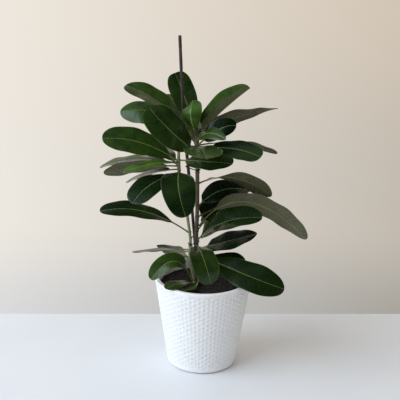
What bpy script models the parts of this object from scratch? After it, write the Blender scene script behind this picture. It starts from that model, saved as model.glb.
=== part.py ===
"""A leafy house plant with two stems, tied to a thin stake, in its white tapered pot.

Metres, +Z up. The origin is the middle of the pot's underside, -Y is the side seen first, and +X is that
view's right. Every leaf is a solid of its own that stands a hair's breadth off its stem.
"""

import math
from typing import NamedTuple

import bmesh
import bpy
import numpy as np
from mathutils import Vector

MM = 0.001

# Pot
POT_HEIGHT = 0.152
RIM_RADIUS = 0.080
WALL_FOOT_RADIUS = 0.0576
RIM_INNER_RADIUS = 0.0733
RIM_ROUNDING = 0.0012
BOTTOM_ROUNDING = 0.004
FOOT_RADIUS = 0.053
FOOT_HEIGHT = 0.0012
FLOOR_THICKNESS = 0.008
INNER_FLOOR_RADIUS = 0.050
POT_STEPS = 64
ARC_STEPS = 4

# Soil
SOIL_TOP = 0.140
SOIL_CROWN = 0.0015
SEAT_GAP = 0.0003

# Stems and stake: routes in millimetres, from the buried end to the top
SHORT_ROUTE = [
    (-14, -12, 60), (-14, -12, 140), (-16, -11, 152), (-23, -8, 190), (-22, -7, 203),
    (-27, -6, 252), (-38, -6, 310), (-42, -6, 334), (-43, -6, 368),
]
TALL_ROUTE = [
    (-7, 8, 60), (-7, 8, 140), (-10, 6, 180), (-12, 5, 203), (-12, 4, 262),
    (-13, 3, 328), (-15, 2, 380), (-16, 2, 400),
]
STAKE_ROUTE = [(-8, 30, 60), (-10, 28, 140), (-20, 23, 252), (-37, 16, 424), (-41, 14, 486), (-44, 12, 542)]
SHORT_RADIUS = 0.0023
TALL_RADIUS = 0.0032
STAKE_RADIUS = 0.0025
ROUTE_STEP = 0.016
TUBE_BEVEL = 2

# A bud closes each stem: rises above the stem's last point, with the share of the stem's radius there
BUD_SHAPE = [(0.002, 1.0), (0.006, 0.85), (0.010, 0.5), (0.013, 0.2)]

# Pointed scales and side shoots that grow from the stems
SCALE_LENGTH = 0.010
SCALE_ROOT_RADIUS = 0.0016
SCALE_TIP_RADIUS = 0.0004
SCALE_TILT = math.radians(20)
SCALE_SIDES = 8
SHORT_SCALES = [(0.283, 200), (0.270, 20), (0.303, 110)]
TALL_SCALES = [(0.315, 250), (0.345, 70), (0.352, 250), (0.280, 200)]
SHOOT_RADIUS = 0.0010
SHORT_SHOOTS = [
    [(-43, -6, 362), (-45, -9, 370), (-48, -13, 379)],
    [(-43, -6, 360), (-40, -9, 369), (-38, -14, 377)],
]

# Ties
TIE_RADIUS = 0.0008
TIE_CLEARANCE = 0.0004
TIE_CORNER_STEPS = 6
UPPER_TIE_HEIGHT = 0.332
LOWER_TIE_HEIGHT = 0.2095

# Leaves
BLADE_THICKNESS = 0.0009
RIB_THICKNESS = 0.0007
PETIOLE_RADIUS = 0.0012
PETIOLE_EDGE = 0.0008
LEAF_CLEARANCE = 0.0005
LEAST_HALF_WIDTH = 0.0012
OPENING_SHARE = 0.12
BLADE_STATIONS = 10
ACROSS = (-1, -0.5, 0, 0.5, 1)
LINE_STEPS = 200


class Leaf(NamedTuple):
    """One leaf: lengths in millimetres, angles in degrees.

    The midrib is one smooth bend from the stem at this height, through middle, to tip. The roll lifts the
    blade's right edge, the twist adds to it toward the tip, and the fold lifts both edges. The width is the
    widest part's, full and sharp set how slowly it comes in at the base and at the tip, and the petiole is
    the bare stalk.
    """

    name: str
    stem: str
    height: float
    middle: tuple
    tip: tuple
    width: float
    roll: float = 0
    twist: float = 0
    fold: float = 5
    petiole: float = 12
    full: float = 0.9
    sharp: float = 0.45


# Leaves of the tall stem, from its crown down
TALL_LEAVES = [
    Leaf("leaf_t01", "tall", 388, (-33, 40, 432), (-52, 60, 476), 42,
         roll=16, petiole=18, full=0.6, sharp=0.3),
    Leaf("leaf_t02", "tall", 392, (-25, -12, 423), (-22, 8, 443), 34,
         roll=40, fold=-20, petiole=5, full=0.7, sharp=0.35),
    Leaf("leaf_t03", "tall", 389, (20, 2, 425), (66, 8, 464), 50, roll=-15, fold=60, petiole=6, full=0.5),
    Leaf("leaf_t04", "tall", 386, (-69, -8, 438), (-127, 10, 464), 50,
         roll=20, fold=10, petiole=14, full=0.8),
    Leaf("leaf_t05", "tall", 383, (4, -25, 399), (29, -48, 395), 24,
         roll=-40, petiole=4, full=0.4, sharp=0.6),
    Leaf("leaf_t06", "tall", 381, (41, 38, 408), (115, 60, 421), 58,
         roll=80, twist=-55, fold=0, full=0.5, sharp=0.8),
    Leaf("leaf_t07", "tall", 380, (-76, 12, 419), (-137, 25, 418), 46, roll=40, fold=-10),
    Leaf("leaf_t08", "tall", 378, (-46, 50, 424), (-66, 60, 440), 14, fold=15, petiole=10),
    Leaf("leaf_t09", "tall", 375, (19, -10, 402), (46, -6, 407), 30, roll=-70, petiole=8, full=0.6),
    Leaf("leaf_t10", "tall", 374, (0, 60, 392), (24, 115, 384), 44),
    Leaf("leaf_t11", "tall", 372, (54, 30, 370), (115, 50, 348), 40, roll=20, petiole=15),
    Leaf("leaf_t12", "tall", 370, (-8, -55, 383), (0, -115, 383), 58, petiole=8),
    Leaf("leaf_t13", "tall", 368, (41, -25, 375), (83, -50, 369), 37,
         roll=-35, petiole=15, full=0.7, sharp=0.35),
    Leaf("leaf_t14", "tall", 366, (-36, 60, 388), (-68, 110, 384), 44),
    Leaf("leaf_t15", "tall", 362, (-56, -36, 405), (-87, -34, 438), 52, roll=80, full=0.6, sharp=0.3),
    Leaf("leaf_t16", "tall", 310, (48, 10, 317), (107, 10, 288), 43,
         roll=-22, twist=92, petiole=6, full=0.6, sharp=0.6),
    Leaf("leaf_t17", "tall", 272, (28, 25, 292), (74, 45, 286), 42,
         roll=-30, petiole=3, full=0.7, sharp=0.7),
    Leaf("leaf_t18", "tall", 252, (12, 30, 256), (37, 50, 266), 44, roll=-50, petiole=4, full=0.5),
    Leaf("leaf_t19", "tall", 238, (68, 5, 279), (166, 0, 219), 54,
         roll=50, petiole=32, full=0.5, sharp=0.5),
    Leaf("leaf_t20", "tall", 228, (18, 60, 242), (48, 105, 234), 42),
    Leaf("leaf_t21", "tall", 215, (33, -25, 255), (90, -40, 268), 54,
         roll=-28, fold=15, petiole=4, full=0.5),
    Leaf("leaf_t22", "tall", 204, (-1, -60, 206), (12, -70, 167), 43, petiole=8, full=0.7),
    Leaf("leaf_t23", "tall", 198, (32, -10, 215), (85, -10, 231), 46,
         roll=-20, petiole=12, full=0.6, sharp=0.65),
    Leaf("leaf_t24", "tall", 188, (63, -40, 173), (130, -45, 150), 52,
         roll=-40, petiole=15, full=0.95, sharp=0.55),
    Leaf("leaf_t25", "tall", 190, (20, 50, 184), (52, 95, 180), 38),
    Leaf("leaf_t26", "tall", 184, (41, 20, 170), (68, 25, 174), 30, roll=-70),
    Leaf("leaf_t27", "tall", 144, (-16, -34, 145), (-40, -58, 149), 12, fold=15, petiole=16),
]

# Leaves of the short stem, from its crown down
SHORT_LEAVES = [
    Leaf("leaf_s01", "short", 350, (2, -40, 358), (40, -65, 362), 42, roll=-24, petiole=8, full=0.7),
    Leaf("leaf_s02", "short", 350, (-104, -20, 381), (-160, -30, 388), 46, roll=48, petiole=8, full=0.7),
    Leaf("leaf_s03", "short", 347, (-84, -36, 351), (-127, -50, 341), 16,
         roll=25, fold=15, petiole=6, full=0.7),
    Leaf("leaf_s04", "short", 344, (-112, 10, 345), (-170, 20, 328), 40, roll=5, petiole=10, full=0.8),
    Leaf("leaf_s05", "short", 340, (-104, -10, 338), (-160, -10, 326), 44, roll=-42, petiole=10, full=0.8),
    Leaf("leaf_s06", "short", 338, (-70, 50, 348), (-100, 100, 340), 42),
    Leaf("leaf_s07", "short", 334, (-90, 30, 317), (-130, 50, 295), 38, roll=12),
    Leaf("leaf_s08", "short", 333, (-41, -60, 318), (-29, -80, 281), 54, petiole=4, full=0.4),
    Leaf("leaf_s09", "short", 326, (-82, -40, 321), (-111, -70, 298), 44, roll=20, petiole=14, full=0.8),
    Leaf("leaf_s10", "short", 230, (-98, -5, 263), (-167, -15, 265), 40, roll=20, petiole=24, full=0.8),
    Leaf("leaf_s11", "short", 199, (-76, 10, 192), (-116, 0, 190), 32, roll=-12, fold=0, petiole=15),
    Leaf("leaf_s12", "short", 195, (-55, 35, 183), (-80, 55, 182), 24, roll=15, sharp=0.8),
    Leaf("leaf_s13", "short", 187, (-34, -7, 187), (-47, -7, 180), 15, fold=10, petiole=5, full=0.6),
    Leaf("leaf_s14", "short", 180, (-44, 45, 172), (-66, 85, 160), 30),
    Leaf("leaf_s15", "short", 150, (-48, -30, 188), (-84, -40, 160), 31,
         roll=45, fold=25, petiole=24, full=0.5),
    Leaf("leaf_s16", "short", 143, (-38, -40, 155), (-59, -65, 155), 24, roll=10, petiole=6),
]


# Scene, collections and materials


def clear_scene():
    for old in list(bpy.data.objects):
        bpy.data.objects.remove(old, do_unlink=True)


def new_collection(name, helpers=False):
    collection = bpy.data.collections.new(name)
    bpy.context.scene.collection.children.link(collection)
    collection.hide_render = helpers
    return collection


def new_material(name, colour, roughness, metallic=0.0):
    material = bpy.data.materials.new(name)
    material.use_nodes = True
    shader = material.node_tree.nodes["Principled BSDF"]
    shader.inputs["Base Color"].default_value = (*colour, 1.0)
    shader.inputs["Roughness"].default_value = roughness
    shader.inputs["Metallic"].default_value = metallic
    return material


def add_object(name, mesh, collection, material=None):
    obj = bpy.data.objects.new(name, mesh)
    collection.objects.link(obj)
    if material:
        mesh.materials.clear()
        mesh.materials.append(material)
    return obj


def shade_round(mesh, angle=math.radians(40)):
    mesh.shade_smooth()
    mesh.set_sharp_from_angle(angle=angle)


# Turned shapes


def arc(centre_r, centre_z, radius, start, end, steps):
    """Profile points (r, z) on an arc, angles in degrees from the +r direction."""
    angles = [math.radians(start + (end - start) * i / steps) for i in range(steps + 1)]
    return [(centre_r + radius * math.cos(a), centre_z + radius * math.sin(a)) for a in angles]


def turned(name, profile, collection, material, steps):
    """A closed solid turned from a profile that starts and ends on the axis and runs down its outer side."""
    mesh = bpy.data.meshes.new(name)
    edges = [(i, i + 1) for i in range(len(profile) - 1)]
    mesh.from_pydata([(r, 0, z) for r, z in profile], edges, [])
    obj = add_object(name, mesh, collection, material)
    screw = obj.modifiers.new("Turn", "SCREW")
    screw.steps = screw.render_steps = steps
    screw.use_merge_vertices = True
    screw.merge_threshold = 0.0001
    screw.use_smooth_shade = True
    return obj


def pot_profile():
    """The pot's section, from the middle of its inner floor over the rim and down to the foot."""
    lean = math.atan2(RIM_RADIUS - WALL_FOOT_RADIUS, POT_HEIGHT)
    turn = math.degrees(lean)
    rim_place = (RIM_INNER_RADIUS + RIM_ROUNDING, POT_HEIGHT - RIM_ROUNDING)
    inner_rim = arc(*rim_place, RIM_ROUNDING, 180, 90, ARC_STEPS)
    outer_rim = arc(RIM_RADIUS - RIM_ROUNDING, POT_HEIGHT - RIM_ROUNDING, RIM_ROUNDING, 90, -turn, ARC_STEPS)
    bottom_r = WALL_FOOT_RADIUS - BOTTOM_ROUNDING + BOTTOM_ROUNDING * math.tan(lean / 2)
    bottom_z = FOOT_HEIGHT + BOTTOM_ROUNDING
    bottom = arc(bottom_r, bottom_z, BOTTOM_ROUNDING, -turn, -90, ARC_STEPS)
    return [
        (0, FLOOR_THICKNESS),
        (INNER_FLOOR_RADIUS, FLOOR_THICKNESS),
        *inner_rim,
        *outer_rim,
        *bottom,
        (FOOT_RADIUS, FOOT_HEIGHT),
        (FOOT_RADIUS, 0),
        (0, 0),
    ]


def pot_inner_radius(height):
    share = (height - FLOOR_THICKNESS) / (POT_HEIGHT - RIM_ROUNDING - FLOOR_THICKNESS)
    return INNER_FLOOR_RADIUS + (RIM_INNER_RADIUS - INNER_FLOOR_RADIUS) * share


def soil_profile():
    """A plug that fills the pot a hair's breadth off its walls, with its top slightly crowned."""
    bottom = FLOOR_THICKNESS + SEAT_GAP
    edge = SOIL_TOP - SOIL_CROWN
    return [
        (0, SOIL_TOP),
        (0.5 * RIM_INNER_RADIUS, SOIL_TOP - 0.25 * SOIL_CROWN),
        (pot_inner_radius(edge) - SEAT_GAP, edge),
        (pot_inner_radius(bottom) - SEAT_GAP, bottom),
        (0, bottom),
    ]


# Rods along a route


def on_route(route, height):
    """The place at this height (metres) on the smooth curve through a route's own points (millimetres)."""
    places = np.array(route) * MM
    x, y, z = places.T
    slopes = np.gradient(places[:, :2], z, axis=0)
    i = int(np.clip(np.searchsorted(z, height) - 1, 0, len(z) - 2))
    span = z[i + 1] - z[i]
    t = (height - z[i]) / span
    start, end = places[i, :2], places[i + 1, :2]
    flat = (
        start * (2 * t**3 - 3 * t**2 + 1)
        + end * (3 * t**2 - 2 * t**3)
        + slopes[i] * span * (t**3 - 2 * t**2 + t)
        + slopes[i + 1] * span * (t**3 - t**2)
    )
    return Vector((flat[0], flat[1], height))


def smooth_route(route):
    low, high = route[0][2] * MM, route[-1][2] * MM
    steps = math.ceil((high - low) / ROUTE_STEP)
    return [on_route(route, low + (high - low) * i / steps) for i in range(steps + 1)]


def as_mesh(obj, collection, material=None):
    """The same shape as a welded mesh object, in place of a curve."""
    name = obj.name
    graph = bpy.context.evaluated_depsgraph_get()
    mesh = bpy.data.meshes.new_from_object(obj.evaluated_get(graph))
    welded = bmesh.new()
    welded.from_mesh(mesh)
    bmesh.ops.remove_doubles(welded, verts=welded.verts, dist=1e-6)
    bmesh.ops.recalc_face_normals(welded, faces=welded.faces)
    welded.to_mesh(mesh)
    welded.free()
    bpy.data.objects.remove(obj, do_unlink=True)
    shade_round(mesh)
    made = add_object(name, mesh, collection, material)
    mesh.name = name
    return made


def rod(name, places, radius, collection, material=None, shares=None, closed=False):
    """A round rod along these places, its radius scaled by each place's share."""
    curve = bpy.data.curves.new(name, "CURVE")
    curve.dimensions = "3D"
    curve.bevel_depth = radius
    curve.bevel_resolution = TUBE_BEVEL
    curve.use_fill_caps = True
    spline = curve.splines.new("POLY")
    spline.points.add(len(places) - 1)
    spline.use_cyclic_u = closed
    for point, place, share in zip(spline.points, places, shares or [1] * len(places)):
        point.co = (*place, 1)
        point.radius = share
    obj = bpy.data.objects.new(name, curve)
    collection.objects.link(obj)
    bpy.context.view_layer.update()
    return as_mesh(obj, collection, material)


def scale(name, route, radius, height, bearing, collection):
    """A small pointed scale that leans out from the stem, its root sunk to the stem's middle."""
    cone = bmesh.new()
    bmesh.ops.create_cone(
        cone,
        cap_ends=True,
        segments=SCALE_SIDES,
        radius1=SCALE_ROOT_RADIUS,
        radius2=SCALE_TIP_RADIUS,
        depth=SCALE_LENGTH,
    )
    mesh = bpy.data.meshes.new(name)
    cone.to_mesh(mesh)
    cone.free()
    obj = add_object(name, mesh, collection)
    out = Vector((math.cos(math.radians(bearing)), math.sin(math.radians(bearing)), 0))
    along = out * math.sin(SCALE_TILT) + Vector((0, 0, math.cos(SCALE_TILT)))
    obj.rotation_mode = "QUATERNION"
    obj.rotation_quaternion = along.to_track_quat("Z", "Y")
    obj.location = on_route(route, height) + out * 0.5 * radius + along * 0.5 * SCALE_LENGTH
    return obj


def join_all(obj, helpers):
    """Joins a collection of overlapping solids to this one, then removes them."""
    union = obj.modifiers.new("Join", "BOOLEAN")
    union.operation = "UNION"
    union.operand_type = "COLLECTION"
    union.collection = helpers
    apply_modifiers(obj)
    for helper in list(helpers.objects):
        bpy.data.objects.remove(helper, do_unlink=True)


def apply_modifiers(obj):
    bpy.context.view_layer.update()
    graph = bpy.context.evaluated_depsgraph_get()
    mesh = bpy.data.meshes.new_from_object(obj.evaluated_get(graph))
    obj.modifiers.clear()
    obj.data = mesh
    mesh.name = obj.name
    shade_round(mesh)


def stem(name, route, radius, scales, shoots, parts, material):
    """A stem with its end bud, its scales and its side shoots, as one solid."""
    places = smooth_route(route)
    shares = [1] * len(places)
    top = places[-1]
    rising = (top - places[-2]).normalized()
    for rise, share in BUD_SHAPE:
        places.append(top + rising * rise)
        shares.append(share)
    obj = rod(name, places, radius, parts, material, shares)
    growths = new_collection(name + "_growths", helpers=True)
    for i, (height, bearing) in enumerate(scales):
        scale(f"{name}_scale_{i}", route, radius, height, bearing, growths)
    for i, shoot in enumerate(shoots):
        places = [Vector(p) * MM for p in shoot]
        rod(f"{name}_shoot_{i}", places, SHOOT_RADIUS, growths, shares=[1, 0.9, 0.4])
    join_all(obj, growths)
    return obj


def bore(soil, route, radius, cutters):
    """A plain hole through the soil's top for a rod, a hair's breadth wider and deeper than the rod."""
    places = [place for place in smooth_route(route) if place.z < SOIL_TOP + ROUTE_STEP]
    places[0].z -= SEAT_GAP
    cutter = rod(f"bore_{len(cutters.objects)}", places, radius + SEAT_GAP, cutters)
    cutter.hide_render = True
    cutter.display_type = "WIRE"
    cut = soil.modifiers.new("Bore", "BOOLEAN")
    cut.operation = "DIFFERENCE"
    cut.object = cutter


# Ties


def belt(circles):
    """The corner points of a taut belt round circles (centre, radius), the circles in turning order."""
    points = []
    for i, (centre, radius) in enumerate(circles):
        before, before_radius = circles[i - 1]
        after, after_radius = circles[(i + 1) % len(circles)]
        start = leaving_angle(before, before_radius, centre, radius)
        end = leaving_angle(centre, radius, after, after_radius)
        sweep = (end - start) % math.tau
        for k in range(TIE_CORNER_STEPS + 1):
            angle = start + sweep * k / TIE_CORNER_STEPS
            points.append((centre[0] + radius * math.cos(angle), centre[1] + radius * math.sin(angle)))
    return points


def leaving_angle(start, start_radius, end, end_radius):
    """The bearing, seen from both centres, of the line that touches both circles on their outer side."""
    across = math.atan2(end[1] - start[1], end[0] - start[0])
    apart = math.dist(start, end)
    return across - math.acos((start_radius - end_radius) / apart)


def tie(name, height, rods, parts, material):
    """A thin cord drawn round these rods, given as (route, radius) in turning order seen from above."""
    circles = []
    for route, radius in rods:
        centre = on_route(route, height)
        circles.append(((centre.x, centre.y), radius + TIE_CLEARANCE + TIE_RADIUS))
    places = [Vector((x, y, height)) for x, y in belt(circles)]
    return rod(name, places, TIE_RADIUS, parts, material, closed=True)


# Leaves


def leaf_line(leaf):
    """The midrib's foot, bend and tip, in metres."""
    route, radius = STEMS[leaf.stem]
    axis = on_route(route, leaf.height * MM)
    middle = Vector(leaf.middle) * MM
    tip = Vector(leaf.tip) * MM
    rise = 2 * middle - 0.5 * (axis + tip) - axis
    out = Vector((rise.x, rise.y, 0)).normalized()
    slope = abs(rise.normalized().z)
    foot = axis + out * (radius + LEAF_CLEARANCE + PETIOLE_RADIUS * slope)
    return foot, 2 * middle - 0.5 * (foot + tip), tip


def midrib(leaf):
    """The midrib as evenly sampled places and their distances from the foot."""
    foot, bend, tip = leaf_line(leaf)
    shares = [i / LINE_STEPS for i in range(LINE_STEPS + 1)]
    places = np.array([foot * (1 - s) ** 2 + bend * (2 * s * (1 - s)) + tip * s**2 for s in shares])
    lengths = np.linalg.norm(np.diff(places, axis=0), axis=1)
    return places, np.concatenate([[0], np.cumsum(lengths)])


def half_width(leaf, share):
    """The blade's half width at this share of its length, nothing at the base and the tip."""
    widest = leaf.full / (leaf.full + leaf.sharp)
    peak = widest**leaf.full * (1 - widest) ** leaf.sharp
    return 0.5 * leaf.width * MM * share**leaf.full * (1 - share) ** leaf.sharp / peak


def leaf_stations(leaf, length):
    """(distance from the foot, share of the blade) of each station: two on the petiole, then the blade's."""
    petiole = leaf.petiole * MM
    stations = [(0, 0), (0.5 * petiole, 0)]
    for i in range(BLADE_STATIONS):
        even = i / (BLADE_STATIONS - 1)
        share = 0.8 * math.sin(0.5 * math.pi * even) + 0.2 * even
        stations.append((petiole + share * (length - petiole), min(share, 1)))
    return stations


def leaf_section(leaf, place, along, level, share):
    """The upper and lower points across the leaf at one station."""
    side = (level - along * level.dot(along)).normalized()
    up = side.cross(along)
    roll = math.radians(leaf.roll + leaf.twist * math.sqrt(share))
    side, up = side * math.cos(roll) + up * math.sin(roll), up * math.cos(roll) - side * math.sin(roll)
    opened = min(share / OPENING_SHARE, 1)
    fold = math.radians(leaf.fold) * opened
    half = max(half_width(leaf, share), LEAST_HALF_WIDTH)
    rib = 2 * PETIOLE_RADIUS * (1 - opened) + (BLADE_THICKNESS + RIB_THICKNESS * (1 - share)) * opened
    flank = 1.8 * PETIOLE_RADIUS * (1 - opened) + BLADE_THICKNESS * opened
    edge = PETIOLE_EDGE * (1 - opened) + BLADE_THICKNESS * opened
    upper, lower = [], []
    for across in ACROSS:
        thick = float(np.interp(abs(across), (0, 0.5, 1), (rib, flank, edge)))
        above = 0.5 * thick * (1 - opened) + 0.5 * BLADE_THICKNESS * opened
        point = place + side * (across * half * math.cos(fold)) + up * (abs(across) * half * math.sin(fold))
        upper.append(point + up * above)
        lower.append(point - up * (thick - above))
    return upper, lower


def loft(sections):
    """A closed solid through sections of (upper, lower) points, split alike above and below."""
    across = len(sections[0][0])
    last = len(sections) - 1
    verts = [p for upper, _ in sections for p in upper] + [p for _, lower in sections for p in lower]
    below = across * len(sections)
    faces = []
    for i in range(last):
        for j in range(across - 1):
            a, b = i * across + j, (i + 1) * across + j
            faces += [(a, b + 1, b), (a, a + 1, b + 1)]
            faces += [(below + a, below + b, below + b + 1), (below + a, below + b + 1, below + a + 1)]
        a, b = i * across, (i + 1) * across
        faces += [(a, b, below + b), (a, below + b, below + a)]
        a, b = a + across - 1, b + across - 1
        faces += [(a, below + b, b), (a, below + a, below + b)]
    for j in range(across - 1):
        a, b = j, last * across + j
        faces += [(a, below + a, below + a + 1), (a, below + a + 1, a + 1)]
        faces += [(b, below + b + 1, below + b), (b, b + 1, below + b + 1)]
    return verts, faces


def add_leaf(leaf, parts, material):
    places, distances = midrib(leaf)
    run = places[-1] - places[0]
    level = Vector((run[0], run[1], 0)).normalized().cross(Vector((0, 0, 1)))

    def at(distance):
        return Vector([np.interp(distance, distances, places[:, k]) for k in range(3)])

    sections = []
    for distance, share in leaf_stations(leaf, distances[-1]):
        along = (at(distance + MM) - at(distance - MM)).normalized()
        sections.append(leaf_section(leaf, at(distance), along, level, share))
    verts, faces = loft(sections)
    mesh = bpy.data.meshes.new(leaf.name)
    mesh.from_pydata(verts, [], faces)
    outward = bmesh.new()
    outward.from_mesh(mesh)
    bmesh.ops.recalc_face_normals(outward, faces=outward.faces)
    outward.to_mesh(mesh)
    outward.free()
    shade_round(mesh)
    return add_object(leaf.name, mesh, parts, material)


STEMS = {"tall": (TALL_ROUTE, TALL_RADIUS), "short": (SHORT_ROUTE, SHORT_RADIUS)}


def main():
    clear_scene()
    parts = new_collection("potted_fig")
    cutters = new_collection("cutters", helpers=True)
    stake_rod = (STAKE_ROUTE, STAKE_RADIUS)

    white = new_material("pot_white", (0.82, 0.82, 0.83), 0.45)
    earth = new_material("soil_brown", (0.020, 0.012, 0.008), 0.95)
    bark = new_material("tall_stem_bark", (0.16, 0.13, 0.09), 0.75)
    green_bark = new_material("short_stem_bark", (0.22, 0.24, 0.15), 0.65)
    cane = new_material("stake_brown", (0.030, 0.018, 0.014), 0.55)
    cord = new_material("tie_black", (0.012, 0.012, 0.012), 0.6)

    turned("pot", pot_profile(), parts, white, POT_STEPS)
    soil = turned("soil", soil_profile(), parts, earth, POT_STEPS)
    for route, radius in (STEMS["tall"], STEMS["short"], stake_rod):
        bore(soil, route, radius, cutters)

    stem("stem_tall", TALL_ROUTE, TALL_RADIUS, TALL_SCALES, [], parts, bark)
    stem("stem_short", SHORT_ROUTE, SHORT_RADIUS, SHORT_SCALES, SHORT_SHOOTS, parts, green_bark)
    rod("stake", smooth_route(STAKE_ROUTE), STAKE_RADIUS, parts, cane)
    tie("tie_upper", UPPER_TIE_HEIGHT, [STEMS["tall"], stake_rod], parts, cord)
    tie("tie_lower", LOWER_TIE_HEIGHT, [STEMS["short"], STEMS["tall"], stake_rod], parts, cord)

    for leaf in TALL_LEAVES + SHORT_LEAVES:
        green = new_material(leaf.name + "_green", (0.022, 0.060, 0.018), 0.35)
        add_leaf(leaf, parts, green)


main()
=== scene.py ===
"""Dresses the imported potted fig: a dimpled white pot, bark and soil, two woody stems, a stake and its veined leaves.

Metres, +Z up, with the origin under the middle of the pot. The first view looks along +Y, with +X to its right.
"""

import math
import random
from typing import NamedTuple

import bpy
import numpy as np
from bpy.props import FloatProperty, FloatVectorProperty, PointerProperty
from mathutils import Matrix, Vector, noise


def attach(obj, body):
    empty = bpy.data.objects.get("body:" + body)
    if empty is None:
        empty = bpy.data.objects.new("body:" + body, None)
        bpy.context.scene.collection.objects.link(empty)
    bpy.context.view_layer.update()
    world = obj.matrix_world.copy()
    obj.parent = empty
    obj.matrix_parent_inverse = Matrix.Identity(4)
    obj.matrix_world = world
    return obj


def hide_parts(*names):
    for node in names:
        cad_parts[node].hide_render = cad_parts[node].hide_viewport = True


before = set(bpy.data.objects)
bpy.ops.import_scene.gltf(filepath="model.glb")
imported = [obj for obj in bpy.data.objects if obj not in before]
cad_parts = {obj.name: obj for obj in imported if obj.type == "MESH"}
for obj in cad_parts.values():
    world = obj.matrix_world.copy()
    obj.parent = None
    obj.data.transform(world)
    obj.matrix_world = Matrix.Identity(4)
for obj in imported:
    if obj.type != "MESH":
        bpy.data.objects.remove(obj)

bl_info = {
    "name": "Potted Fig",
    "version": (1, 0, 0),
    "blender": (4, 5, 0),
    "location": "View3D > Sidebar > Potted Fig",
    "description": "Dresses the potted fig with its dimpled pot, soil, stems, stake, ties and veined leaves",
    "category": "Object",
}

MM = 0.001
BODY = "root"

# Stems and stake: routes in millimetres, from the buried end to the top
SHORT_ROUTE = [
    (-14, -12, 60), (-14, -12, 140), (-16, -11, 152), (-23, -8, 190), (-22, -7, 203),
    (-27, -6, 252), (-38, -6, 310), (-42, -6, 334), (-43, -6, 368),
]
TALL_ROUTE = [
    (-7, 8, 60), (-7, 8, 140), (-10, 6, 180), (-12, 5, 203), (-12, 4, 262),
    (-13, 3, 328), (-15, 2, 380), (-16, 2, 400),
]
STAKE_ROUTE = [(-8, 30, 60), (-10, 28, 140), (-20, 23, 252), (-37, 16, 424), (-41, 14, 486), (-44, 12, 542)]
BUD_RISE = 13
SHORT_SCALES = [(283, 200), (270, 20), (303, 110)]
TALL_SCALES = [(315, 250), (345, 70), (352, 250), (280, 200)]
SHORT_SHOOTS = [
    [(-43, -6, 362), (-45, -9, 370), (-48, -13, 379)],
    [(-43, -6, 360), (-40, -9, 369), (-38, -14, 377)],
]
UPPER_TIE_HEIGHT = 332
LOWER_TIE_HEIGHT = 209.5
TIE_CLEARANCE = 0.4


class Leaf(NamedTuple):
    """One leaf: lengths in millimetres, angles in degrees.

    The midrib is one smooth bend from the stem at this height, through middle, to tip. The roll lifts the blade's
    right edge, the twist adds to it toward the tip, and the fold lifts both edges. The width is the widest part's,
    full and sharp set how slowly it comes in at the base and at the tip, and the petiole is the bare stalk. Fresh
    is how young and light its green is, and also painted light: it is set low for leaves that stand in shade and
    higher for leaves that stand lit. Wave is how far its margin ripples, and curl how far its edges bend down.
    """

    name: str
    stem: str
    height: float
    middle: tuple
    tip: tuple
    width: float
    roll: float = 0
    twist: float = 0
    fold: float = 5
    petiole: float = 12
    full: float = 0.9
    sharp: float = 0.45
    fresh: float = 0.2
    wave: float = 1.0
    curl: float = 1.0
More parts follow.
